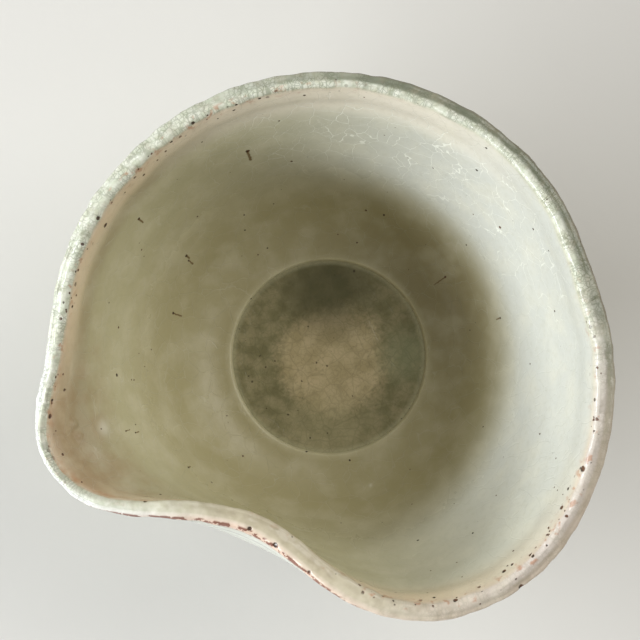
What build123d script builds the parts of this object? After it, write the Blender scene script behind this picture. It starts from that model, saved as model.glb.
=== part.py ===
from build123d import *
import os
from collections import namedtuple
from math import cos, exp, hypot, pi, radians, sin

# A hand-thrown stoneware pouring bowl with a pulled spout and one thumbed-in side.
# The origin is on the throwing axis, in the plane that the bowl stands on. +Z is up and the
# spout points along -X. Angles are measured from +X towards +Y. Sizes are in millimetres.

# Overall sizes
HEIGHT = 62.0  # table to the top of the lip
RIM_RADIUS = 58.0  # outside of the lip, where the rim is still as round as it was thrown
LIP_WIDTH = 3.9  # across the squared lip, glaze included
LIP_ROUNDING = 1.3  # radius of the lip's two glazed corners
FULLNESS = 0.46  # below 1 the wall rounds out low down; 1 would be a straight cone

# Foot
FOOT_RADIUS = 26.4
FOOT_HEIGHT = 5.0
FOOT_STEP = 0.4  # the turned ledge where the wall starts outside the foot ring
FOOT_RING_WIDTH = 4.6
FOOT_TAPER = 0.8  # each face of the ring leans in by this much where it stands
FOOT_ROUNDING = 0.7
RECESS_DEPTH = 3.6  # the hollow inside the foot ring

# Floor and well
FLOOR_THICKNESS = 4.2  # clay between the hollow and the lowest part of the well
WELL_RADIUS = 23.2
WELL_LEDGE = 0.3  # from the well's edge out to where the wall starts to rise
WELL_DEPTH = 1.7  # from the start of the wall down to the lowest part of the well
WELL_MOUND = 0.7  # how far the middle of the well stands above its lowest part
WELL_EDGE_RISE = 0.5  # how far the well's floor rises again to its edge
TROUGH_SHARE = 0.78  # where the well is lowest, as a share of its radius

# Glaze
GLAZE_THICKNESS = 0.6
GLAZE_LINE = 9.0  # height at which the outside glaze stops
LIP_GLAZE_DEPTH = 2.4  # how far the double coat on the lip reaches down both faces
POOL_LINE = 0.3  # the pool's glass meets the wall's this far below the start of the wall
POOL_DEPTH = 1.1  # deepest glaze in the well
POOL_MOUND = 0.3  # how far the pool's middle stands above its lowest part
POOL_EDGE_RISE = 0.25  # how far the pool's surface climbs at its edge
POOL_SHORE = 0.6  # from the edge of the pool out to the well's edge

# How the thrown wall was pushed out or in. reach is the movement at the lip, outwards if it is
# positive. azimuth and half_width are degrees. squareness makes the push flatter in its middle,
# start_z is the height where it begins, and growth is how late it comes on up the wall.
Push = namedtuple("Push", "reach azimuth half_width squareness start_z growth")
SPOUT = Push(8.7, 180.0, 17.0, 2.6, 30.0, 1.6)
THUMBED_SIDE = Push(-18.2, 224.0, 33.0, 2.0, 12.0, 1.5)
BULGE = Push(6.7, 282.0, 44.0, 2.1, 8.0, 1.3)
FLAT_SIDE = Push(-1.3, 351.0, 14.0, 2.0, 20.0, 1.0)
PUSHES = (SPOUT, THUMBED_SIDE, BULGE, FLAT_SIDE)

# Modelling
RING_POINTS = 72
RING_LEVELS = 12
OVERLAP = 1.0  # how far a cutting or joining solid reaches past a face

well_bottom = RECESS_DEPTH + FLOOR_THICKNESS
wall_start = well_bottom + WELL_DEPTH

# The glazed outside at its low and its high end: (radius, height)
OUTSIDE = ((FOOT_RADIUS + GLAZE_THICKNESS, FOOT_HEIGHT), (RIM_RADIUS, HEIGHT))


def swell(angle, z):
    """How far the wall stands outside its thrown profile, at an angle in radians and a height."""
    total = 0.0
    for push in PUSHES:
        apart = (angle - radians(push.azimuth) + pi) % (2 * pi) - pi
        rise = max(z - push.start_z, 0.0) / (HEIGHT - push.start_z)
        shape = exp(-abs(apart / radians(push.half_width)) ** push.squareness)
        total += push.reach * rise**push.growth * shape
    return total


def wall_radius(low, high, z):
    """Radius at a height on a thrown profile through two (radius, height) points."""
    rise = (z - low[1]) / (high[1] - low[1])
    return low[0] + (high[0] - low[0]) * rise**FULLNESS


def ring(inset, z):
    """A closed wire at one height, this far inside the glazed outside and parallel to it."""
    step = 0.001
    points = []
    for index in range(RING_POINTS):
        angle = 2 * pi * index / RING_POINTS
        outer = wall_radius(*OUTSIDE, z) + swell(angle, z)
        turn = (swell(angle + step, z) - swell(angle - step, z)) / (2 * step)
        length = hypot(outer, turn)
        normal_x = (outer * cos(angle) + turn * sin(angle)) / length
        normal_y = (outer * sin(angle) - turn * cos(angle)) / length
        x = outer * cos(angle) - inset * normal_x
        y = outer * sin(angle) - inset * normal_y
        points.append((x, y, z))
    knots = [index / RING_POINTS for index in range(RING_POINTS + 1)]
    return Wire([Edge.make_spline(points, periodic=True, parameters=knots)])


def bowl_solid(low, high, top):
    """A solid bowl with a flat top, whose side follows the thrown profile from low to high."""
    rings = []
    for level in range(RING_LEVELS + 1):
        z = low[1] + (top - low[1]) * (level / RING_LEVELS) ** 2
        inset = wall_radius(*OUTSIDE, z) - wall_radius(low, high, z)
        rings.append(ring(inset, z))
    return Solid.make_loft(rings)


def dish_solid(radius, low_z, mound, edge_z):
    """What fills a shallow round dish with a raised middle, up past the start of the wall."""
    middle = (0, low_z + mound)
    trough = (WELL_RADIUS * TROUGH_SHARE, low_z)
    edge = (radius, edge_z)
    top_z = wall_start + GLAZE_THICKNESS + OVERLAP
    bottom = Spline(middle, trough, tangents=((1, 0), (1, 0)))
    shore = Spline(trough, edge, tangents=((1, 0), (1, 1)))
    sides = Polyline(edge, (radius, top_z), (0, top_z), middle)
    return revolve(Plane.XZ * make_face(bottom + shore + sides), Axis.Z)


def foot_solid():
    """The turned foot ring and the floor over its hollow."""
    outer = FOOT_RADIUS - FOOT_STEP
    inner = outer - FOOT_RING_WIDTH
    outline = Polyline(
        (0, RECESS_DEPTH),
        (inner, RECESS_DEPTH),
        (inner + FOOT_TAPER, 0),
        (outer - FOOT_TAPER, 0),
        (outer, FOOT_HEIGHT),
        (outer, FOOT_HEIGHT + OVERLAP),
        (0, FOOT_HEIGHT + OVERLAP),
        close=True,
    )
    foot = revolve(Plane.XZ * make_face(outline), Axis.Z)
    standing = foot.edges().group_by(Axis.Z)[0]
    return fillet(standing, FOOT_ROUNDING)


def round_lip(shape, radius):
    """Rounds the two corners of a shape's flat lip."""
    return fillet(shape.edges().group_by(Axis.Z)[-1], radius)


def outside_block(coat):
    """The solid inside the bowl's outside, with a coat of glaze this thick over the clay."""
    start = (FOOT_RADIUS + coat, FOOT_HEIGHT)
    end = (RIM_RADIUS - GLAZE_THICKNESS + coat, HEIGHT)
    return bowl_solid(start, end, HEIGHT - GLAZE_THICKNESS + coat)


def hollow(coat):
    """What is empty inside the wall above the well, over a coat of glaze this thick."""
    start = (WELL_RADIUS + WELL_LEDGE, wall_start + coat)
    end = (RIM_RADIUS - LIP_WIDTH + GLAZE_THICKNESS - coat, HEIGHT)
    return bowl_solid(start, end, HEIGHT + OVERLAP)


def between(low_z, high_z):
    """A block that holds everything between two heights."""
    side = 4 * RIM_RADIUS
    return Pos(0, 0, (low_z + high_z) / 2) * Box(side, side, high_z - low_z)


bare_block = outside_block(0)
bare_hollow = hollow(0)
bare_well = dish_solid(WELL_RADIUS, well_bottom, WELL_MOUND, well_bottom + WELL_EDGE_RISE)
glazed_block = outside_block(GLAZE_THICKNESS)
glazed_hollow = hollow(GLAZE_THICKNESS)
pool_low = well_bottom + POOL_DEPTH
pool_radius = WELL_RADIUS - POOL_SHORE
glazed_well = dish_solid(pool_radius, pool_low, POOL_MOUND, pool_low + POOL_EDGE_RISE)

lip_line = HEIGHT - LIP_GLAZE_DEPTH
pool_line = wall_start - POOL_LINE
outside_coat = between(GLAZE_LINE, lip_line)
inside_coat = between(pool_line, lip_line)
lip_coat = between(lip_line, HEIGHT + OVERLAP)

thrown = bare_block + foot_solid() - bare_hollow - bare_well
clay_body = round_lip(thrown, LIP_ROUNDING - GLAZE_THICKNESS)
glazed_lip = round_lip(glazed_block - glazed_hollow, LIP_ROUNDING)
parts = {
    "clay_body": clay_body,
    "outer_glaze": (glazed_block & outside_coat) - bare_block,
    "lip_glaze": (glazed_lip & lip_coat) - clay_body,
    "inner_glaze": ((bare_hollow + bare_well) & inside_coat) - glazed_hollow - glazed_well,
    "well_glaze_pool": (bare_well & between(0, pool_line)) - glazed_well,
}

os.makedirs("parts", exist_ok=True)
for name, shape in parts.items():
    shape.label = name
    export_step(shape, f"parts/{name}.step")
    print(f"{name}: {shape.volume:.0f} mm3")
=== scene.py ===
import bpy
import numpy as np
from mathutils import Matrix, Vector, noise


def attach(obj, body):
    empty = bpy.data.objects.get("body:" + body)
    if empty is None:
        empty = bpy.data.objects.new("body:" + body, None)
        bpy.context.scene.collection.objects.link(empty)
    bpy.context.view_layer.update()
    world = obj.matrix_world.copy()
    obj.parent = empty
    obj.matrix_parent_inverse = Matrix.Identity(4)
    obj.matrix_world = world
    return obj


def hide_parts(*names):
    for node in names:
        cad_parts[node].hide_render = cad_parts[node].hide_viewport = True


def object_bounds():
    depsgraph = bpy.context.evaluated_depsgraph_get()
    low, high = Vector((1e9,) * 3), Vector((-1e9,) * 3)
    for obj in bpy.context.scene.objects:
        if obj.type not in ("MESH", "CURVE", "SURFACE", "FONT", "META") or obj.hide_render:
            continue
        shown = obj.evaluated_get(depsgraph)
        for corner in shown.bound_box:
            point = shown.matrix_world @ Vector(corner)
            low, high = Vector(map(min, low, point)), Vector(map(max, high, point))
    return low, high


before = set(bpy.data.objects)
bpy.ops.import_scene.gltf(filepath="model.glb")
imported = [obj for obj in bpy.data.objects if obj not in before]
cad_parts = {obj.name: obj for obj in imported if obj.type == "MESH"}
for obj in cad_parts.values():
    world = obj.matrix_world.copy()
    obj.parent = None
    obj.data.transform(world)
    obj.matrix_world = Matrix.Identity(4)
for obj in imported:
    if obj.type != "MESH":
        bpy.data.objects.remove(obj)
cad_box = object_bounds()

# A hand-thrown stoneware pouring bowl under crackled celadon glaze. The formulas below work in
# millimetres and degrees in the CAD's frame: the throwing axis is Z, the table is z = 0 and the
# spout points along -X. Meshes are turned into metres when they are made.

MM = 0.001
HEIGHT = cad_box[1][2] / MM

# Sizes and places, as the CAD has them. A profile is the (radius, height) of its low and high end.
GLAZE = 0.6
RIM_RADIUS = 58.0
LIP_WIDTH = 3.9
FULLNESS = 0.46
FOOT_HEIGHT = 5.0
WALL_START = 9.5
OUTSIDE = ((27.0, FOOT_HEIGHT), (RIM_RADIUS, HEIGHT))
INSIDE = ((23.5, WALL_START + GLAZE), (RIM_RADIUS - LIP_WIDTH, HEIGHT))
LIP_LINE = HEIGHT - 2.4  # where the double coat on the lip ends
GLAZE_LINE = 9.0  # where the outside glaze ends
POOL_RADIUS = 22.7
POOL_LOW = 8.9
WELL_FLOOR = 7.8
FOOT_RADIUS = 26.0
FOOT_WIDTH = 4.6
FOOT_TAPER = 0.8
RECESS = 3.6

# The pushes that turned the round rim into a spout, a thumbed-in side and a bulge:
# reach at the lip, azimuth, half width, squareness, height where it starts, growth up the wall
PUSHES = (
    (8.7, 180.0, 17.0, 2.6, 30.0, 1.6),
    (-18.2, 224.0, 33.0, 2.0, 12.0, 1.5),
    (6.7, 282.0, 44.0, 2.1, 8.0, 1.3),
    (-1.3, 351.0, 14.0, 2.0, 20.0, 1.0),
)

# Meshes: rings of the bowl by columns round it
COLUMNS = 800
OUTER_ROWS = 92
CORNER_ROWS = 9
BAND_ROWS = 16
INNER_ROWS = 98
SHORE_ROWS = 6
BACK_ROWS = 12

# The lip's two rounded corners, and how far its top is domed between them
OUTER_CORNER = 1.4
INNER_CORNER = 0.8
LIP_CROWN = 0.18

# Hand marks
GROOVE_DEPTH = 8.4  # from the lip down to the groove that a finger left
RING_PITCH = 6.5
LIP_SETTLED = 0.25  # how far the fired lip's mean height is under the CAD's
LIP_WAVE = 0.35
LIP_RIPPLE = 0.12

# The large iron spots: azimuth, way in along the surface from the lip's outer edge, radius, and
# how far a brown tail ran down from it
IRON_SPOTS = (
    (87, 27.5, 0.60, 4.0),
    (121, 48.0, 0.35, 2.0),
    (120, 46.0, 0.40, 1.5),
    (120, 20.5, 0.40, 2.5),
    (140, 50.0, 0.35, 3.0),
    (9, 57.0, 0.30, 5.5),
    (177, 30.0, 0.22, 1.5),
    (178, 33.5, 0.22, 1.5),
    (195, 40.0, 0.30, 1.0),
    (161, 30.0, 0.40, 0.0),
    (347, 45.5, 0.30, 1.5),
    (77, 18.0, 0.28, 0.0),
    (163, 9.5, 0.40, 0.5),
    (126, 9.0, 0.60, 0.0),
    (96, 5.0, 0.55, 0.0),
    (102, 6.0, 0.40, 0.0),
    (168, 6.0, 0.60, 0.0),
    (222, 2.0, 0.62, 0.0),
    (198, 4.5, 0.45, 0.0),
    (230, 1.5, 0.70, 0.0),
    (240, 1.5, 0.45, 0.0),
    (310, 6.0, 0.75, 0.0),
    (284, 1.0, 0.70, 0.0),
    (283, 7.5, 0.55, 0.0),
    (271, 5.5, 0.60, 0.0),
    (301, 7.0, 0.55, 0.0),
)

# The small ones gather under the lip: from and to azimuth, and how many
SPOT_SWARMS = ((55, 185, 30), (262, 330, 16))
SWARM_WAY = (4.6, 8.4)
SWARM_RADIUS = (0.20, 0.42)
SPOT_SEED = 5

# Spots less than LIP_REACH in lie in pits
LIP_REACH = 7.0
PIT_SPREAD = 1.1
PIT_DEPTH = 0.16

# Blisters and scars in the glaze: azimuth, way in, radius, height. The low ones are milky.
MILKY_HEIGHT = 0.3
LUMPS = (
    (171, 14.5, 0.75, 0.75),
    (174, 15.5, 0.70, 0.65),
    (172, 12.5, 0.55, 0.45),
    (174, 23.0, 1.80, 0.16),
    (165, 0.5, 0.90, 0.35),
    (263, 59.0, 0.40, 0.14),
)

azimuths = np.linspace(0.0, 2 * np.pi, COLUMNS, endpoint=False)


def swarm(draws):
    """The small iron spots, drawn at random from a seed."""
    spots = []
    for low, high, count in SPOT_SWARMS:
        for _ in range(count):
            azimuth = draws.uniform(low, high)
            far = draws.uniform(*SWARM_WAY)
            radius = draws.uniform(*SWARM_RADIUS)
            spots.append((azimuth, far, radius, 0.0))
    return tuple(spots)


iron_spots = IRON_SPOTS + swarm(np.random.default_rng(SPOT_SEED))


def bell(azimuth, centre, half_width, squareness=2.0):
    """A bump of height 1 round a direction. The azimuth is in radians, the rest in degrees."""
    apart = (np.degrees(azimuth) - centre + 180.0) % 360.0 - 180.0
    return np.exp(-np.abs(apart / half_width) ** squareness)


def zone(centre, half_width, squareness=4.0):
    """A stretch of the rim round an azimuth, 1 in its middle with soft ends. In degrees."""
    return bell(azimuths, centre, half_width, squareness)


def fade(value, low, high):
    """0 below low, 1 above high, and smooth between them."""
    t = np.clip((value - low) / (high - low), 0.0, 1.0)
    return t * t * (3.0 - 2.0 * t)


def hump(value, centre, half_width):
    """A bump of height 1 round a value."""
    return np.exp(-(((value - centre) / half_width) ** 2))


def grain(points, size, seed=0.0):
    """Smooth noise from about -0.5 to 0.5 at each point, with this wavelength in mm."""
    flat = points.reshape(-1, 3) / size + seed
    values = [noise.noise(spot) for spot in flat.tolist()]
    return np.array(values).reshape(points.shape[:-1])


# ---------------------------------------------------------------------------------------------
# The wall, as the CAD has it
# ---------------------------------------------------------------------------------------------

def swell(azimuth, z):
    """How far the wall stands outside its thrown profile."""
    total = 0.0
    for reach, centre, half_width, squareness, start, growth in PUSHES:
        rise = np.maximum(z - start, 0.0) / (HEIGHT - start)
        total = total + reach * rise**growth * bell(azimuth, centre, half_width, squareness)
    return total


def profile_radius(profile, z):
    (low_radius, low_z), (high_radius, high_z) = profile
    rise = np.clip((z - low_z) / (high_z - low_z), 0.0, None)
    return low_radius + (high_radius - low_radius) * rise**FULLNESS


def place(azimuth, z, inset):
    """Points at heights z, this far inside the glazed outside and parallel to it."""
    step = 0.001
    outer = profile_radius(OUTSIDE, z) + swell(azimuth, z)
    turn = (swell(azimuth + step, z) - swell(azimuth - step, z)) / (2 * step)
    length = np.hypot(outer, turn)
    normal_x = (outer * np.cos(azimuth) + turn * np.sin(azimuth)) / length
    normal_y = (outer * np.sin(azimuth) - turn * np.cos(azimuth)) / length
    x = outer * np.cos(azimuth) - inset * normal_x
    y = outer * np.sin(azimuth) - inset * normal_y
    return np.stack([x, y, z + 0.0 * x], axis=-1)


def wall_inset(z):
    """From the glazed outside to the glazed inside, level, at a height."""
    return profile_radius(OUTSIDE, z) - profile_radius(INSIDE, z)


# ---------------------------------------------------------------------------------------------
# The glazed surface, from the glaze line up the outside, over the lip and down to the well.
# Every array has one row for each ring of the bowl and one column for each azimuth.
# ---------------------------------------------------------------------------------------------

rim = place(azimuths, np.array(HEIGHT), 0.0)
rim_lean = profile_radius(OUTSIDE, HEIGHT) - profile_radius(OUTSIDE, HEIGHT - 1.0)
rim_lean = rim_lean + swell(azimuths, HEIGHT) - swell(azimuths, HEIGHT - 1.0)
lip_tilt = 0.7 * rim_lean
lip_width = LIP_WIDTH - 0.8 * zone(178, 26, 2.0) + 0.8 * zone(322, 48, 2.0)
lip_width = lip_width + 0.6 * zone(226, 32, 2.0) + 0.35 * grain(rim, 9.0, 4.0)
lip_top = HEIGHT - LIP_CROWN - LIP_SETTLED + LIP_WAVE * grain(rim, 24.0, 2.0)
lip_top = lip_top + LIP_RIPPLE * grain(rim, 4.0, 3.0)
outer_top = lip_top - np.maximum(lip_width * lip_tilt, 0.0)
inner_top = lip_top - np.maximum(-lip_width * lip_tilt, 0.0)
glaze_line = GLAZE_LINE + 1.6 * grain(rim, 22.0, 7.0) + 0.6 * grain(rim, 6.0, 8.0)


def corner_rows(top, radius, inner):
    """(z, inset) rows round the lip's outer or inner corner, going inwards."""
    turn = np.linspace(0.0, np.pi / 2, CORNER_ROWS)[:, None] + 0.0 * top
    if inner:
        return top - radius * (1 - np.cos(turn)), lip_width - radius * (1 - np.sin(turn))
    return top - radius * (1 - np.sin(turn)), radius * (1 - np.cos(turn))


def glazed_rows():
    """The (z, inset) of every row, and where each stretch of rows ends."""
    # up the outside, closer together near the glaze line
    share = np.linspace(0.0, 1.0, OUTER_ROWS)[:, None] ** 1.3
    outer_z = glaze_line + (outer_top - OUTER_CORNER - glaze_line) * share
    # over the lip
    first_z, first_inset = corner_rows(outer_top, OUTER_CORNER, inner=False)
    last_z, last_inset = corner_rows(inner_top, INNER_CORNER, inner=True)
    share = np.linspace(0.0, 1.0, BAND_ROWS)[1:-1, None]
    crown = LIP_CROWN * np.sin(np.pi * share)
    band_z = first_z[-1] + (last_z[0] - first_z[-1]) * share + crown
    band_inset = first_inset[-1] + (last_inset[0] - first_inset[-1]) * share
    # down the inside, closer together near the well
    share = np.linspace(1.0, 0.0, INNER_ROWS)[1:, None] ** 1.55
    inner_z = INSIDE[0][1] + (inner_top - INNER_CORNER - INSIDE[0][1]) * share
    widen = (lip_width - LIP_WIDTH) * fade(inner_z, HEIGHT - 16.0, HEIGHT - 2.0)
    # over the well's edge, to meet the pool
    turn = np.linspace(0.25, 1.0, SHORE_ROWS)[:, None] * np.pi / 2 + 0.0 * azimuths
    shore_z = POOL_LOW + (INSIDE[0][1] - POOL_LOW) * np.cos(turn)
    shore_radius = INSIDE[0][0] - (INSIDE[0][0] - POOL_RADIUS) * np.sin(turn)
    stretches = (
        (outer_z, 0.0 * outer_z),
        (first_z[1:], first_inset[1:]),
        (band_z, band_inset),
        (last_z, last_inset),
        (inner_z, wall_inset(inner_z) + widen),
        (shore_z, profile_radius(OUTSIDE, shore_z) - shore_radius),
    )
    z = np.concatenate([stretch[0] for stretch in stretches])
    inset = np.concatenate([stretch[1] for stretch in stretches])
    ends = np.cumsum([len(stretch[0]) for stretch in stretches])
    return z, inset, ends


def row_normals(points):
    """Unit normals of a grid of rings, out of the glaze."""
    round_way = np.roll(points, -1, axis=1) - np.roll(points, 1, axis=1)
    along = np.gradient(points, axis=0)
    normals = np.cross(round_way, along)
    return normals / np.maximum(np.linalg.norm(normals, axis=-1, keepdims=True), 1e-9)


def hand_marks(points, z, below, inside, outside):
    """How far the fingers, the wheel and the running glaze left the surface in or out."""
    lift = 0.16 * grain(points, 30.0, 11.0) + 0.07 * grain(points, 7.0, 12.0)
    # throwing rings, which climb the wall as a spiral
    spiral = z + RING_PITCH * azimuths / (2 * np.pi)
    rings = np.sin(2 * np.pi * spiral / RING_PITCH)
    lift = lift + rings * (0.10 * outside + 0.03 * fade(below, 10.0, 20.0) * inside)
    # the soft groove that a finger left below the lip, and the collar above it
    groove = hump(below, GROOVE_DEPTH + 0.6, 2.8) * inside
    lift = lift - 0.60 * groove * (1.0 - 0.75 * zone(345, 62))
    lift = lift + 0.12 * hump(below, 4.2, 2.4) * inside
    # the glaze gathers in a roll where it stopped
    roll = hump(z, glaze_line + 1.0, 0.9) * outside
    tuck = hump(z, glaze_line, 0.35) * outside
    lift = lift + 0.28 * roll - 0.35 * tuck
    # the lip's crust of small facets
    crust = (1.0 - fade(below, 0.5, 3.0)) * (1.0 - outside * fade(outer_top - z, 1.0, 5.0))
    crust = crust * (1.0 - 0.6 * inside * zone(15, 60))
    return lift + crust * (0.24 * grain(points, 3.4, 13.0) + 0.09 * grain(points, 1.4, 14.0))


def band_positions(across):
    """Places along and across the lip as a vector that closes on itself, in mm."""
    steps = np.linalg.norm(np.roll(rim, -1, axis=0) - rim, axis=-1)
    length = steps.sum()
    turn = 2 * np.pi * np.concatenate([[0.0], np.cumsum(steps)[:-1]]) / length
    radius = length / (2 * np.pi)
    x = radius * np.cos(turn) + 0.0 * across
    y = radius * np.sin(turn) + 0.0 * across
    return np.stack([x, y, across * LIP_WIDTH], axis=-1)


def nearest(way, azimuth, far):
    """The row and column of the surface at an azimuth and a way in from the lip's outer edge."""
    column = round(azimuth / 360.0 * COLUMNS) % COLUMNS
    return int(np.argmin(np.abs(way[:, column] - far))), column


def dented(points, way):
    """The points with pits and lumps in the glaze, and a mark where a lump is milky."""
    pits = [
        (azimuth, far, PIT_SPREAD * radius, -PIT_DEPTH)
        for azimuth, far, radius, _ in iron_spots
        if far < LIP_REACH
    ]
    milky = 0.0 * way
    for azimuth, far, radius, height in pits + list(LUMPS):
        row, column = nearest(way, azimuth, far)
        apart = np.linalg.norm(points - points[row, column], axis=-1)
        bump = np.exp(-((apart / radius) ** 2))
        points = points + (height * bump)[..., None] * row_normals(points)
        milky = np.maximum(milky, bump * (0.0 < height < MILKY_HEIGHT))
    return points, milky


def wall_marks(below, inside, outside, on_lip):
    """Where the wall's colour differs, by how far below the lip's inner corner it is: the glaze's own
    tints, and painted light and shade where the window falls on the wall or does not.
    """
    under_lip = inside * fade(below, 0.2, 1.5)
    unlit = 1.0 - zone(350, 72)
    crazed_inside = fade(below, 3.0, 8.0) * (1.0 - fade(below, 24.0, 40.0)) * zone(34, 52, 3.0)
    return {
        "outside": outside,
        "low": inside * fade(below, 18.0, 50.0),
        # painted light: the wall that faces the window, laid paler and bluer
        "lit_wall": inside * fade(below, 0.2, 2.0) * (1.0 - fade(below, 30.0, 46.0)) * zone(352, 84),
        "crazed": inside * crazed_inside + 0.45 * outside * (1.0 - on_lip),
        "spout": inside * fade(below, 0.3, 2.5) * (1.0 - fade(below, 9.0, 24.0)) * zone(176, 20, 2.0),
        # painted light: the outside wall below the thumbed-in notch, which faces the window, laid
        # whiter
        "lit_belly": outside * (1.0 - on_lip) * zone(226, 34),
        "collar": under_lip * (1.0 - fade(below, 5.0, 12.0)) * unlit,
        # painted light: the top of the collar, where the window falls on it, laid brighter
        "lit_collar_top": under_lip * (1.0 - fade(below, 8.0, 14.0)) * zone(62, 40),
        "shade": hump(below, GROOVE_DEPTH + 1.2, 2.4) * inside * zone(125, 52),
        # painted shade: the low wall beside the well, which the window does not reach, laid darker
        "shade_beside_well": inside * fade(below, 34.0, 46.0) * zone(8, 50, 2.0),
    }


def lip_marks(across, below, under_edge, inside, outside, on_lip):
    """Where the lip's colour differs, in its glaze and in painted light and shade. across runs from 0
    at its outer edge to 1 at its inner.
    """
    edge = hump(across, 0.03, 0.14) * (1.0 - fade(under_edge, 1.2, 2.4))
    outer_band = np.maximum(edge, outside * (1.0 - fade(under_edge, 2.0, 8.0)))
    corner = hump(below, 1.0, 1.5) * inside * fade(across, 0.8, 1.0)
    inner_side = np.maximum(corner, on_lip * fade(across, 0.72, 1.0))
    return {
        "on_lip": on_lip,
        "cracked": on_lip * (1.0 - zone(226, 40, 6.0)) * (1.0 - 0.7 * zone(300, 40, 6.0)),
        # painted light: the spout's outer edge, which faces the window, laid white
        "lit_spout_edge": on_lip * (1.0 - fade(across, 0.22, 0.42)) * zone(178, 24),
        # darker glaze and painted shade on the lip's outer edge away from the window
        "dark_and_shaded_edge": outer_band * zone(10, 62),
        # the lip's side away from the window laid darker: greener glaze and painted shade
        "green_and_shaded_side": on_lip * (1.0 - fade(across, 0.65, 0.95)) * zone(18, 62),
        "cream": on_lip * zone(288, 40),
        "milk": on_lip * fade(across, 0.45, 0.75) * zone(306, 34),
        "notch": on_lip * fade(across, 0.15, 0.40) * zone(230, 30),
        "pink_edge": on_lip * (1.0 - fade(across, 0.15, 0.42)) * zone(224, 34),
        "blush": corner * (1.0 - zone(12, 55)),
        "pitted": inner_side * np.maximum(zone(122, 60), zone(285, 60)),
        "stain": corner * zone(180, 24),
        "rust": edge * zone(218, 32),
        "tan_edge": edge * zone(300, 110),
    }


def glazed_surface():
    """Points of the whole glazed surface, with the marks that its material reads."""
    z, inset, ends = glazed_rows()
    points = place(azimuths, z, inset)
    rows = np.arange(len(z))[:, None] + 0.0 * azimuths
    inside = (rows >= ends[3] - 1) * 1.0
    outside = (rows < ends[0]) * 1.0
    below = np.maximum(inner_top - z, 0.0) * inside
    lift = hand_marks(points, z, below, inside, outside)
    points = points + lift[..., None] * row_normals(points)
    steps = np.linalg.norm(np.diff(points, axis=0), axis=-1)
    way = np.concatenate([np.zeros((1, COLUMNS)), np.cumsum(steps, axis=0)])
    way = way - way[ends[0] - 1]
    points, milky = dented(points, way)
    across = np.clip((rows - ends[0]) / (ends[2] - ends[0]), 0.0, 1.0)
    under_edge = outside * (outer_top - z)
    on_lip = (1.0 - fade(below, 0.2, 1.8)) * (1.0 - fade(under_edge, 1.4, 4.0))
    marks = wall_marks(below, inside, outside, on_lip)
    marks.update(lip_marks(across, below, under_edge, inside, outside, on_lip))
    marks["shore"] = fade(rows, ends[4] - 2, ends[4])
    marks["milky"] = milky
    marks["band"] = band_positions(across)
    return points, marks, ends, way


# ---------------------------------------------------------------------------------------------
# Meshes
# ---------------------------------------------------------------------------------------------

def grid_faces(rows, closed):
    """Quads of a grid of rings; closed joins the last ring to the first."""
    count = rows if closed else rows - 1
    low = (np.arange(count)[:, None] * COLUMNS + np.arange(COLUMNS)).reshape(-1)
    right = (np.arange(count)[:, None] * COLUMNS + (np.arange(COLUMNS) + 1) % COLUMNS).reshape(-1)
    total = rows * COLUMNS
    quads = np.stack([low, right, (right + COLUMNS) % total, (low + COLUMNS) % total], axis=1)
    return quads.tolist()


def end_fans(rows):
    """Triangles that close the first and the last ring, each round a middle point of its own."""
    first = [(rows * COLUMNS, (k + 1) % COLUMNS, k) for k in range(COLUMNS)]
    top = (rows - 1) * COLUMNS
    last = [(rows * COLUMNS + 1, top + k, top + (k + 1) % COLUMNS) for k in range(COLUMNS)]
    return first + last


def make_mesh(name, points, faces, marks):
    """A Blender object from millimetre points, with its marks as point attributes."""
    mesh = bpy.data.meshes.new(name)
    mesh.from_pydata((points.reshape(-1, 3) * MM).tolist(), [], faces)
    for mark, values in marks.items():
        if values.shape == points.shape:
            layer = mesh.attributes.new(mark, "FLOAT_VECTOR", "POINT")
            layer.data.foreach_set("vector", values.astype(np.float32).reshape(-1))
        else:
            layer = mesh.attributes.new(mark, "FLOAT", "POINT")
            layer.data.foreach_set("value", values.astype(np.float32).reshape(-1))
    mesh.shade_smooth()
    mesh.update()
    piece = bpy.data.objects.new(name, mesh)
    bpy.context.scene.collection.objects.link(piece)
    return piece


def sharpen(piece, rings):
    """Marks the edges along whole rings as sharp, so that the glaze stays smooth up to them."""
    mesh = piece.data
    ends = np.empty(len(mesh.edges) * 2, np.int32)
    mesh.edges.foreach_get("vertices", ends)
    first, second = (ends.reshape(-1, 2) // COLUMNS).T
    along = (first == second) & np.isin(first, rings)
    layer = mesh.attributes.new("sharp_edge", "BOOLEAN", "EDGE")
    layer.data.foreach_set("value", along)
    mesh.update()


def coat(name, start, end):
    """A closed coat of glaze over the surface's rows from start to end, its back on the clay."""
    picked = np.unique(np.linspace(start, end - 1, BACK_ROWS).astype(int))[::-1]
    back = (surface - (GLAZE - 0.03) * row_normals(surface))[picked]
    both = np.concatenate([surface[start:end], back])
    marks = {mark: np.concatenate([values[start:end], values[picked]])
             for mark, values in surface_marks.items()}
    piece = make_mesh(name, both, grid_faces(len(both), closed=True), marks)
    sharpen(piece, [0, end - start - 1, end - start, len(both) - 1])
    return piece


def closed_turning(name, points):
    """A closed piece from rings that start and end close to the axis."""
    middles = points[[0, -1]].mean(axis=1)
    faces = grid_faces(len(points), closed=False) + end_fans(len(points))
    return make_mesh(name, np.concatenate([points.reshape(-1, 3), middles]), faces, {})


def round_rings(radii, heights):
    """Rings of what was never pushed out of round."""
    x = radii[:, None] * np.cos(azimuths)
    y = radii[:, None] * np.sin(azimuths)
    return np.stack([x, y, heights[:, None] + 0.0 * x], axis=-1)


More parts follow.
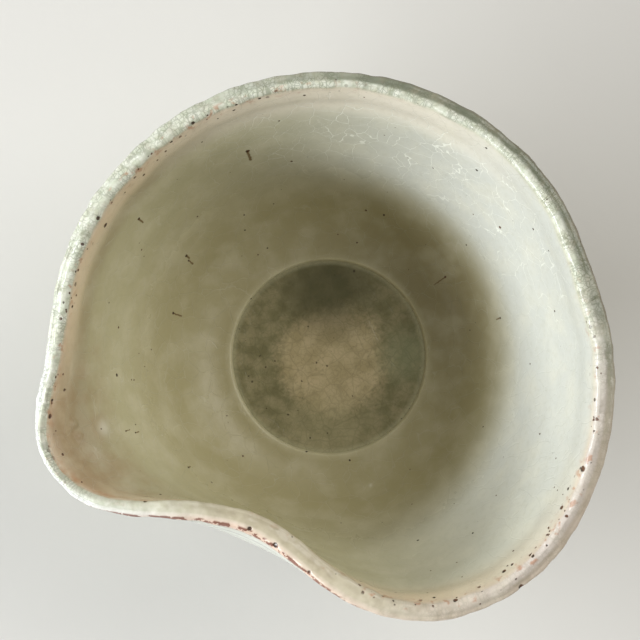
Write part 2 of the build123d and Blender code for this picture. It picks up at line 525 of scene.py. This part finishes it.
def turned_path(corners, step, passes):
    """Evenly spaced (radii, heights) along straight runs, with the corners between them worn."""
    corners = np.array(corners)
    along = np.concatenate([[0.0], np.cumsum(np.hypot(*np.diff(corners, axis=0).T))])
    spots = np.linspace(0.0, along[-1], int(along[-1] / step))
    radii, heights = (np.interp(spots, along, corners[:, axis]) for axis in (0, 1))
    for _ in range(passes):
        radii[1:-1] = (radii[:-2] + radii[1:-1] + radii[2:]) / 3
        heights[1:-1] = (heights[:-2] + heights[1:-1] + heights[2:]) / 3
    return radii, heights


def make_pool():
    """The green glass in the well: a shallow lens, deepest in a ring round its raised middle."""
    radii = np.linspace(0.4, POOL_RADIUS + 0.12, 64)
    mound = 0.30 * (1.0 - fade(radii, 5.0, 16.0))
    shore = 0.30 * fade(radii, 18.5, POOL_RADIUS)
    top = round_rings(radii, POOL_LOW + mound + shore)
    top[..., 2] += 0.10 * grain(top, 11.0, 21.0) + 0.04 * grain(top, 3.0, 22.0)
    top[..., 2] += 0.035 * (np.sin(2 * np.pi * radii / 3.4) * fade(radii, 6.0, 12.0))[:, None]
    under_radii = np.linspace(POOL_RADIUS + 0.12, 0.4, 10)
    under = round_rings(under_radii, WELL_FLOOR + 0.45 + 0.5 * (1.0 - fade(under_radii, 5.0, 16.0)))
    piece = closed_turning("pool_glass", np.concatenate([under[::-1], top[::-1]]))
    sharpen(piece, [len(under) - 1, len(under)])
    return piece


def make_clay():
    """The thrown and turned clay under the glaze, bare at the foot."""
    foot_in = FOOT_RADIUS - FOOT_WIDTH
    corners = [
        (0.4, RECESS),
        (foot_in, RECESS),
        (foot_in + FOOT_TAPER, 0.0),
        (FOOT_RADIUS - FOOT_TAPER, 0.0),
        (FOOT_RADIUS, FOOT_HEIGHT),
        (OUTSIDE[0][0] - GLAZE, FOOT_HEIGHT),
    ]
    radii, heights = turned_path(corners, 0.62, 3)
    foot = round_rings(radii, heights)
    # the turning tool's spiral in the hollow, and its chatter up the foot
    hollow = fade(foot_in - radii, 0.5, 2.5)[:, None]
    spiral = radii[:, None] / 2.6 + azimuths / (2 * np.pi)
    foot[..., 2] += hollow * (0.10 * np.sin(2 * np.pi * spiral) + 0.25 * grain(foot, 14.0, 31.0))
    standing = fade(heights, 0.6, 1.6)[:, None] * (1.0 - hollow)
    foot[..., :2] *= 1.0 + 0.012 * (standing * grain(foot, 9.0, 32.0))[..., None]
    # the bare wall up to the glaze, then on under the glaze to the well
    share = np.linspace(0.06, 0.97, 7)[:, None]
    bare_z = FOOT_HEIGHT + (glaze_line - FOOT_HEIGHT) * share
    bare = place(azimuths, bare_z, GLAZE)
    bare[..., :2] *= 1.0 + 0.004 * grain(bare, 5.0, 33.0)[..., None]
    under_glaze = surface - GLAZE * row_normals(surface)
    spans = (
        np.linspace(0, stretch_ends[0] - 1, 11),
        np.linspace(stretch_ends[0], stretch_ends[3], 12),
        np.linspace(stretch_ends[3] + 1, len(surface) - 1, 12),
    )
    picked = np.unique(np.concatenate(spans).astype(int))
    well_radii = np.linspace(POOL_RADIUS - 0.4, 0.4, 8)
    well = round_rings(well_radii, WELL_FLOOR + 0.4 * (1.0 - fade(well_radii, 5.0, 16.0)))
    rings = np.concatenate([foot, bare, under_glaze[picked], well])
    return closed_turning("clay_wall_and_foot", rings)


surface, surface_marks, stretch_ends, surface_way = glazed_surface()
outer_heights = surface[:stretch_ends[0], :, 2].mean(axis=1)
inner_heights = surface[stretch_ends[3]:stretch_ends[4], :, 2].mean(axis=1)
lip_start = int(np.argmin(np.abs(outer_heights - LIP_LINE)))
lip_end = int(stretch_ends[3] + np.argmin(np.abs(inner_heights - LIP_LINE)))
outer_glaze = coat("outer_glaze_coat", 0, lip_start + 1)
lip_glaze = coat("lip_glaze_coat", lip_start, lip_end + 1)
inner_glaze = coat("inner_glaze_coat", lip_end, len(surface))
pool = make_pool()
clay = make_clay()


# ---------------------------------------------------------------------------------------------
# Materials
# ---------------------------------------------------------------------------------------------

def tone(red, green, blue):
    """A colour given as everyday 0 to 255 values, as the linear colour that shaders take."""
    shares = np.array([red, green, blue]) / 255.0
    linear = np.where(shares <= 0.04045, shares / 12.92, ((shares + 0.055) / 1.055) ** 2.4)
    return (*linear.tolist(), 1.0)


class Paint:
    """One material and short ways to add nodes to it. Lengths in its patterns are in mm."""

    def __init__(self, name):
        self.material = bpy.data.materials.new(name)
        self.material.use_nodes = True
        self.nodes = self.material.node_tree.nodes
        self.links = self.material.node_tree.links
        self.shader = self.nodes["Principled BSDF"]
        place_node = self.nodes.new("ShaderNodeTexCoord")
        self.spot = self.vector("SCALE", place_node.outputs["Object"], scale=1.0 / MM)

    def feed(self, socket, value):
        if isinstance(value, bpy.types.NodeSocket):
            self.links.new(value, socket)
        else:
            socket.default_value = value

    def vector(self, operation, first, second=None, scale=None):
        node = self.nodes.new("ShaderNodeVectorMath")
        node.operation = operation
        self.feed(node.inputs[0], first)
        if second is not None:
            self.feed(node.inputs[1], second)
        if scale is not None:
            self.feed(node.inputs["Scale"], scale)
        single = operation in ("DISTANCE", "DOT_PRODUCT", "LENGTH")
        return node.outputs["Value" if single else "Vector"]

    def math(self, operation, *values):
        node = self.nodes.new("ShaderNodeMath")
        node.operation = operation
        for socket, value in zip(node.inputs, values):
            self.feed(socket, value)
        return node.outputs[0]

    def fade(self, value, low, high):
        """0 at low, 1 at high, smooth between; low may be the larger."""
        node = self.nodes.new("ShaderNodeMapRange")
        node.interpolation_type = "SMOOTHSTEP"
        self.feed(node.inputs["Value"], value)
        if low < high:
            node.inputs["From Min"].default_value = low
            node.inputs["From Max"].default_value = high
        else:
            node.inputs["From Min"].default_value = high
            node.inputs["From Max"].default_value = low
            node.inputs["To Min"].default_value = 1.0
            node.inputs["To Max"].default_value = 0.0
        return node.outputs["Result"]

    def mark(self, name):
        node = self.nodes.new("ShaderNodeAttribute")
        node.attribute_name = name
        return node.outputs["Vector" if name == "band" else "Fac"]

    def noise(self, size, detail=2.0, seed=0.0, at=None):
        node = self.nodes.new("ShaderNodeTexNoise")
        node.inputs["Scale"].default_value = 1.0 / size
        node.inputs["Detail"].default_value = detail
        self.feed(node.inputs["Vector"], self.shifted(at, seed))
        return node.outputs["Fac"]

    def patches(self, size, detail, seed, low, high):
        """Soft patches about this big: noise that is 0 under low and 1 over high."""
        return self.fade(self.noise(size, detail, seed), low, high)

    def times(self, first, second):
        return self.math("MULTIPLY", first, second)

    def shifted(self, at, seed):
        return self.vector("ADD", self.spot if at is None else at, (seed, 1.7 * seed, 0.6 * seed))

    def cells(self, size, feature, seed=0.0, at=None):
        """A Voronoi node whose cells are about this big."""
        node = self.nodes.new("ShaderNodeTexVoronoi")
        node.feature = feature
        node.inputs["Scale"].default_value = 1.0 / size
        self.feed(node.inputs["Vector"], self.shifted(at, seed))
        return node

    def warped(self, at, size, reach, seed=0.0):
        """Positions bent by smooth noise."""
        node = self.nodes.new("ShaderNodeTexNoise")
        node.inputs["Scale"].default_value = 1.0 / size
        node.inputs["Detail"].default_value = 2.0
        self.feed(node.inputs["Vector"], self.shifted(at, seed))
        centred = self.vector("SUBTRACT", node.outputs["Color"], (0.5, 0.5, 0.5))
        return self.vector("ADD", at, self.vector("SCALE", centred, scale=2.0 * reach))

    def mix(self, below, above, share):
        node = self.nodes.new("ShaderNodeMix")
        node.data_type = "RGBA"
        self.feed(node.inputs[0], share)
        self.feed(node.inputs[6], below)
        self.feed(node.inputs[7], above)
        return node.outputs[2]

    def lay(self, below, colour, share, strength=1.0):
        """Another colour over one, as strong as share times strength."""
        return self.mix(below, colour, self.times(share, strength))

    def cracks(self, size, width, seed, at=None):
        """1 along the lines of a crackle whose plates are about this big."""
        bent = self.warped(self.spot if at is None else at, 0.8 * size, 0.22 * size, seed)
        edge = self.cells(size, "DISTANCE_TO_EDGE", seed, bent).outputs["Distance"]
        return self.fade(edge, width / size, 0.25 * width / size)

    def specks(self, size, radius, share, seed):
        """1 inside specks: one in each of a share of the cells of this size, of random radius."""
        bent = self.warped(self.spot, 1.2, 0.25, seed)
        node = self.cells(size, "F1", seed, bent)
        chosen = self.nodes.new("ShaderNodeSeparateColor")
        self.links.new(node.outputs["Color"], chosen.inputs["Color"])
        most = radius / size
        reach = self.math("MULTIPLY_ADD", chosen.outputs["Green"], 0.7 * most, 0.3 * most)
        near = self.math("SUBTRACT", reach, node.outputs["Distance"])
        inside = self.fade(near, -0.10 * most, 0.15 * most)
        return self.times(inside, self.math("LESS_THAN", chosen.outputs["Red"], share))

    def finish(self, colour, roughness, height, depth):
        """Connects the shader. depth is what a height of 1 stands for, in mm."""
        self.links.new(colour, self.shader.inputs["Base Color"])
        self.feed(self.shader.inputs["Roughness"], roughness)
        bump = self.nodes.new("ShaderNodeBump")
        bump.inputs["Distance"].default_value = depth * MM
        self.links.new(height, bump.inputs["Height"])
        self.links.new(bump.outputs["Normal"], self.shader.inputs["Normal"])
        return self.material


def iron(paint, spots):
    """Masks of iron spots and of the brown tails that ran down from them."""
    bent = paint.warped(paint.spot, 0.9, 0.22, 3.0)
    heads = 0.0
    tails = 0.0
    for azimuth, far, radius, tail in spots:
        row, column = nearest(surface_way, azimuth, far)
        centre = surface[row, column]
        apart = paint.vector("SUBTRACT", bent, tuple(centre))
        head = paint.fade(paint.vector("LENGTH", apart), 1.05 * radius, 0.65 * radius)
        heads = paint.math("MAXIMUM", heads, head)
        if tail > 0.0:
            slope = surface[row + 5, column] - centre
            slope = tuple(slope / np.linalg.norm(slope))
            along = paint.vector("DOT_PRODUCT", apart, slope)
            held = paint.math("MINIMUM", paint.math("MAXIMUM", along, 0.0), tail)
            away = paint.vector("DISTANCE", apart, paint.vector("SCALE", slope, scale=held))
            tails = paint.math("MAXIMUM", tails, paint.fade(away, 0.85 * radius, 0.25 * radius))
    return heads, tails


# What colour is laid where the marks say: the mark, its colour and its strength. Most are the glaze's
# own colours; some are painted light and painted shade. Each colour is laid over those before it.
WALL_COLOURS = (
    ("low", (160, 150, 110), 0.70),
    # painted light on the wall that faces the window
    ("lit_wall", (198, 201, 196), 0.92),
    # painted shade on the low wall beside the well
    ("shade_beside_well", (112, 100, 66), 0.50),
    ("outside", (176, 180, 158), 0.80),
    ("collar", (232, 212, 182), 0.75),
    ("shade", (136, 124, 92), 0.50),
    # painted light on the top of the collar
    ("lit_collar_top", (232, 226, 212), 0.75),
    ("shore", (198, 192, 160), 0.60),
)
LIP_COLOURS = (
    # greener glaze and painted shade on the lip's side away from the window
    ("green_and_shaded_side", (98, 106, 86), 0.88),
    ("cream", (200, 184, 168), 0.85),
    ("notch", (190, 178, 152), 0.85),
    ("pink_edge", (226, 202, 184), 0.85),
)
# thin and milky glaze, and painted light on the spout's outer edge and the belly
THIN_GLAZE_AND_LIT_COLOURS = (
    # painted light on the spout's outer edge
    ("lit_spout_edge", (238, 241, 240), 0.85),
    # painted light on the outside wall below the thumbed-in notch
    ("lit_belly", (216, 219, 212), 0.80),
    ("milk", (214, 206, 200), 0.70),
    ("blush", (220, 194, 172), 0.35),
)
EDGE_COLOURS = (
    ("tan_edge", (214, 186, 168), 0.30),
    # darker glaze and painted shade on the outer edge away from the window
    ("dark_and_shaded_edge", (84, 77, 60), 0.80),
    ("rust", (212, 172, 148), 0.35),
)


def lay_marks(paint, colour, layers):
    """Lays the colour of each mark over the last."""
    for mark, rgb, strength in layers:
        colour = paint.lay(colour, tone(*rgb), paint.mark(mark), strength)
    return colour


def celadon_colour(paint):
    """Pale iron-green glaze over buff clay, by how thick it lies and how it was fired, with painted
    light on the sides that face the window and painted shade on those away from it.
    """
    colour = paint.mix(tone(180, 175, 140), tone(190, 185, 153), paint.noise(26.0, 3.0, 1.0))
    colour = lay_marks(paint, colour, WALL_COLOURS)
    toasted = paint.times(paint.mark("spout"), paint.patches(5.0, 4.0, 30.0, 0.36, 0.66))
    colour = paint.lay(colour, tone(164, 130, 92), toasted, 0.60)
    colour = paint.lay(colour, tone(150, 132, 102), paint.mark("spout"), 0.65)
    blotches = paint.patches(1.5, 3.0, 28.0, 0.35, 0.65)
    mottled = paint.mix(tone(202, 208, 190), tone(222, 225, 213), blotches)
    colour = paint.lay(colour, mottled, paint.mark("on_lip"), 0.95)
    colour = lay_marks(paint, colour, LIP_COLOURS)
    worn = paint.times(paint.mark("on_lip"), paint.patches(2.0, 5.0, 31.0, 0.45, 0.70))
    colour = paint.lay(colour, tone(150, 138, 112), worn, 0.28)
    colour = lay_marks(paint, colour, THIN_GLAZE_AND_LIT_COLOURS)
    clouds = paint.patches(7.0, 4.0, 5.0, 0.40, 0.75)
    colour = paint.lay(colour, tone(226, 222, 200), clouds, 0.22)
    fine = paint.patches(1.3, 3.0, 9.0, 0.45, 0.8)
    colour = paint.lay(colour, tone(150, 146, 112), fine, 0.12)
    return paint.lay(colour, tone(222, 220, 206), paint.mark("milky"), 0.55)


def crazing(paint):
    """Masks of the crackle: hair-fine on the walls, and mostly straight across the lip."""
    wide = paint.cracks(4.4, 0.085, 11.0)
    small = paint.cracks(2.4, 0.065, 12.0)
    patchy = paint.times(paint.patches(16.0, 2.0, 14.0, 0.35, 0.60), 0.4)
    walls = paint.math("MAXIMUM", wide, paint.times(small, patchy))
    walls = paint.times(walls, paint.math("SUBTRACT", 1.0, paint.mark("on_lip")))
    band = paint.vector("MULTIPLY", paint.mark("band"), (1.0, 1.0, 0.42))
    across = paint.cracks(1.5, 0.11, 13.0, band)
    across = paint.math("MAXIMUM", across, paint.cracks(1.0, 0.09, 29.0))
    across = paint.times(across, paint.patches(3.5, 2.0, 24.0, 0.25, 0.60))
    return walls, paint.times(across, paint.mark("cracked"))


def celadon(name, spots):
    """Crazed celadon, speckled with iron, thin where it broke over the lip's edges, and with painted
    shade on the outer edge away from the window.
    """
    paint = Paint(name)
    colour = celadon_colour(paint)
    walls, across = crazing(paint)
    seen = paint.math("MULTIPLY_ADD", paint.mark("crazed"), 0.55, 0.08)
    colour = paint.lay(colour, tone(238, 240, 230), paint.times(walls, seen))
    colour = paint.lay(colour, tone(112, 118, 94), across, 0.50)

    # the clay burnt through at the edges, and painted shade on the outer edge away from the window
    colour = lay_marks(paint, colour, EDGE_COLOURS)
    rusty = paint.times(paint.mark("rust"), paint.patches(1.3, 4.0, 15.0, 0.43, 0.55))
    colour = paint.lay(colour, tone(112, 54, 38), paint.fade(rusty, 0.12, 0.45), 0.85)
    stained = paint.times(paint.mark("stain"), paint.patches(2.6, 5.0, 16.0, 0.40, 0.75))
    colour = paint.lay(colour, tone(178, 128, 88), stained, 0.75)

    # iron: pits with brown halos, fine specks, and the larger spots with their tails
    pits = paint.times(paint.specks(1.7, 0.46, 0.45, 25.0), paint.mark("pitted"))
    halo = paint.times(paint.patches(1.9, 2.0, 26.0, 0.56, 0.70), paint.mark("pitted"))
    colour = paint.lay(colour, tone(176, 124, 92), halo, 0.65)
    tiny = paint.specks(2.8, 0.30, 0.32, 17.0)
    some = paint.specks(7.0, 0.50, 0.30, 18.0)
    dots = paint.math("MAXIMUM", paint.math("MAXIMUM", tiny, some), pits)
    heads, tails = iron(paint, spots)
    colour = paint.lay(colour, tone(100, 74, 36), tails, 0.85)
    dark = paint.math("MAXIMUM", dots, heads)
    burnt = paint.mix(tone(36, 24, 16), tone(90, 54, 34), paint.patches(0.9, 2.0, 27.0, 0.4, 0.6))
    colour = paint.lay(colour, burnt, dark, 0.93)

    lines = paint.math("MAXIMUM", walls, across)
    height = paint.times(paint.noise(1.6, 2.0, 19.0), 0.35)
    height = paint.math("SUBTRACT", height, paint.times(lines, 0.35))
    height = paint.math("SUBTRACT", height, paint.times(dark, 0.8))
    roughness = paint.math("MULTIPLY_ADD", paint.noise(5.0, 3.0, 20.0), 0.12, 0.10)
    roughness = paint.math("MULTIPLY_ADD", paint.mark("low"), 0.22, roughness)
    return paint.finish(colour, roughness, height, 0.10)


# The pool's tints away from its middle: where each is strongest, from how far off it starts,
# its colour and its strength
POOL_TINTS = (
    ((17.5, -8.0, 0.0), 10.0, 1.0, (148, 152, 118), 0.60),
    ((6.5, 14.5, 0.0), 16.0, 3.0, (76, 74, 42), 0.75),
    ((-8.0, -17.0, 0.0), 15.0, 3.0, (168, 160, 124), 0.50),
)
POOL_MIDDLE = (0.8, -1.2, 0.0)


def pooled_celadon():
    """Deep green glass, crazed right through, and palest where it is thin over the mound."""
    paint = Paint("pooled_celadon")
    level = paint.vector("MULTIPLY", paint.spot, (1.0, 1.0, 0.0))
    wandering = paint.warped(paint.warped(level, 9.0, 2.2, 1.0), 1.6, 0.9, 2.0)
    clouds = paint.patches(3.4, 3.0, 2.0, 0.30, 0.70)
    deep = paint.mix(tone(150, 142, 108), tone(120, 115, 80), clouds)
    clouds = paint.patches(4.0, 4.0, 3.0, 0.30, 0.70)
    pale = paint.mix(tone(196, 180, 144), tone(172, 158, 120), clouds)
    radius = paint.vector("DISTANCE", wandering, POOL_MIDDLE)
    grains = paint.math("MULTIPLY_ADD", paint.noise(1.1, 4.0, 9.0), 7.0, radius)
    colour = paint.mix(pale, deep, paint.fade(grains, 13.0, 19.0))
    colour = paint.lay(colour, tone(92, 90, 60), paint.patches(0.8, 3.0, 10.0, 0.55, 0.75), 0.30)
    for spot, far, near, rgb, strength in POOL_TINTS:
        apart = paint.vector("DISTANCE", wandering, spot)
        colour = paint.lay(colour, tone(*rgb), paint.fade(apart, far, near), strength)
    brim = paint.fade(paint.vector("LENGTH", level), POOL_RADIUS - 1.4, POOL_RADIUS - 0.1)
    colour = paint.lay(colour, tone(176, 172, 140), brim, 0.6)
    wide = paint.cracks(4.2, 0.20, 4.0)
    small = paint.cracks(1.5, 0.14, 5.0)
    lines = paint.math("MAXIMUM", wide, paint.times(small, 0.7))
    colour = paint.lay(colour, tone(84, 86, 58), lines, 0.18)
    dark = paint.specks(2.2, 0.34, 0.35, 6.0)
    colour = paint.lay(colour, tone(50, 38, 24), dark, 0.75)
    height = paint.math("SUBTRACT", paint.times(paint.noise(1.8, 2.0, 7.0), 0.4), lines)
    roughness = paint.math("MULTIPLY_ADD", paint.noise(4.0, 3.0, 8.0), 0.12, 0.08)
    return paint.finish(colour, roughness, height, 0.02)


def stoneware():
    """Bare buff stoneware, toasted by the fire, with grit and the turning tool's drag lines."""
    paint = Paint("stoneware")
    colour = paint.mix(tone(178, 148, 116), tone(156, 112, 80), paint.noise(13.0, 4.0, 1.0))
    colour = paint.lay(colour, tone(126, 78, 50), paint.patches(5.0, 4.0, 2.0, 0.52, 0.72), 0.6)
    sand = paint.specks(1.5, 0.35, 0.5, 3.0)
    colour = paint.lay(colour, tone(208, 190, 160), sand, 0.6)
    soot = paint.specks(2.4, 0.30, 0.3, 4.0)
    colour = paint.lay(colour, tone(58, 42, 32), soot, 0.8)
    stretched = paint.vector("MULTIPLY", paint.spot, (0.12, 0.12, 2.2))
    drag = paint.noise(1.0, 3.0, 5.0, stretched)
    height = paint.math("ADD", paint.times(drag, 0.6), paint.noise(0.7, 4.0, 6.0))
    height = paint.math("ADD", height, paint.times(sand, 0.5))
    roughness = paint.math("MULTIPLY_ADD", paint.noise(3.0, 3.0, 7.0), 0.2, 0.68)
    return paint.finish(colour, roughness, height, 0.22)


lip_spots = [spot for spot in iron_spots if spot[1] < LIP_REACH + 1.0]
wall_spots = [spot for spot in iron_spots if spot[1] > LIP_REACH - 2.0]
outer_glaze.data.materials.append(celadon("outer_celadon", ()))
lip_glaze.data.materials.append(celadon("lip_celadon", lip_spots))
inner_glaze.data.materials.append(celadon("inner_celadon", wall_spots))
pool.data.materials.append(pooled_celadon())
clay.data.materials.append(stoneware())


# ---------------------------------------------------------------------------------------------
# Floor, light and camera
# ---------------------------------------------------------------------------------------------

FLOOR_SIDE = 3000.0
CAMERA_RISE = 330.0  # above the lip


def make_floor():
    paint = Paint("floor_paper")
    colour = paint.mix(tone(206, 205, 202), tone(212, 211, 208), paint.noise(60.0, 3.0, 1.0))
    material = paint.finish(colour, 0.75, paint.noise(2.0, 3.0, 2.0), 0.03)
    half = FLOOR_SIDE / 2
    corners = np.array([(-half, -half, 0), (half, -half, 0), (half, half, 0), (-half, half, 0)])
    floor = make_mesh("floor", corners, [(0, 1, 2, 3)], {})
    floor.data.materials.append(material)
    return floor


def add_light(name, azimuth, elevation, distance, width, height, power, colour):
    """An area light that shines on the bowl from a direction in degrees. Lengths in mm."""
    data = bpy.data.lights.new(name, "AREA")
    data.shape = "RECTANGLE"
    data.size = width * MM
    data.size_y = height * MM
    data.energy = power
    data.color = colour
    light = bpy.data.objects.new(name, data)
    turned, raised = np.radians((azimuth, elevation))
    level = Vector((np.cos(turned), np.sin(turned), 0.0)) * np.cos(raised)
    towards = level + Vector((0.0, 0.0, np.sin(raised)))
    light.location = Vector((0, 0, HEIGHT * MM / 2)) + towards * distance * MM
    light.rotation_euler = towards.to_track_quat("Z", "Y").to_euler()
    bpy.context.scene.collection.objects.link(light)


def add_camera(location, target, up_azimuth, view_angle):
    """A camera in mm whose picture has an azimuth of the bowl pointing up."""
    data = bpy.data.cameras.new("camera")
    data.sensor_width = 36.0
    data.angle = np.radians(view_angle)
    camera = bpy.data.objects.new("camera", data)
    back = (Vector(location) - Vector(target)).normalized()
    up = Vector((np.cos(np.radians(up_azimuth)), np.sin(np.radians(up_azimuth)), 0.0))
    up = (up - up.dot(back) * back).normalized()
    turn = Matrix((up.cross(back), up, back)).transposed()
    camera.matrix_world = Matrix.Translation(Vector(location) * MM) @ turn.to_4x4()
    bpy.context.scene.collection.objects.link(camera)
    bpy.context.scene.camera = camera


floor = make_floor()
# a long low window beside the spout, and the softer light that the rest of a room sends back
add_light(
    "window",
    azimuth=169.0,
    elevation=25.5,
    distance=1000.0,
    width=1600.0,
    height=140.0,
    power=18.5,
    colour=(0.95, 0.98, 1.0),
)
add_light(
    "room",
    azimuth=5.0,
    elevation=40.0,
    distance=1400.0,
    width=1100.0,
    height=1000.0,
    power=12.0,
    colour=(1.0, 0.97, 0.92),
)
add_camera(
    location=(-4.0, -13.0, HEIGHT + CAMERA_RISE),
    target=(1.0, 5.7, HEIGHT),
    up_azimuth=65.0,
    view_angle=22.36,
)

world = bpy.data.worlds.new("studio")
bpy.context.scene.world = world
world.use_nodes = True
world.node_tree.nodes["Background"].inputs["Color"].default_value = (1.0, 0.96, 0.88, 1.0)
world.node_tree.nodes["Background"].inputs["Strength"].default_value = 0.30
bpy.context.scene.view_settings.view_transform = "Standard"


# ---------------------------------------------------------------------------------------------
# What each piece stands for
# ---------------------------------------------------------------------------------------------

stands_for = (
    (clay, "clay_body", "stoneware"),
    (outer_glaze, "outer_glaze", "outer_celadon"),
    (lip_glaze, "lip_glaze", "lip_celadon"),
    (inner_glaze, "inner_glaze", "inner_celadon"),
    (pool, "well_glaze_pool", "pooled_celadon"),
)
for piece, node_name, slot_name in stands_for:
    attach(piece, "root")
    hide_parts(node_name)
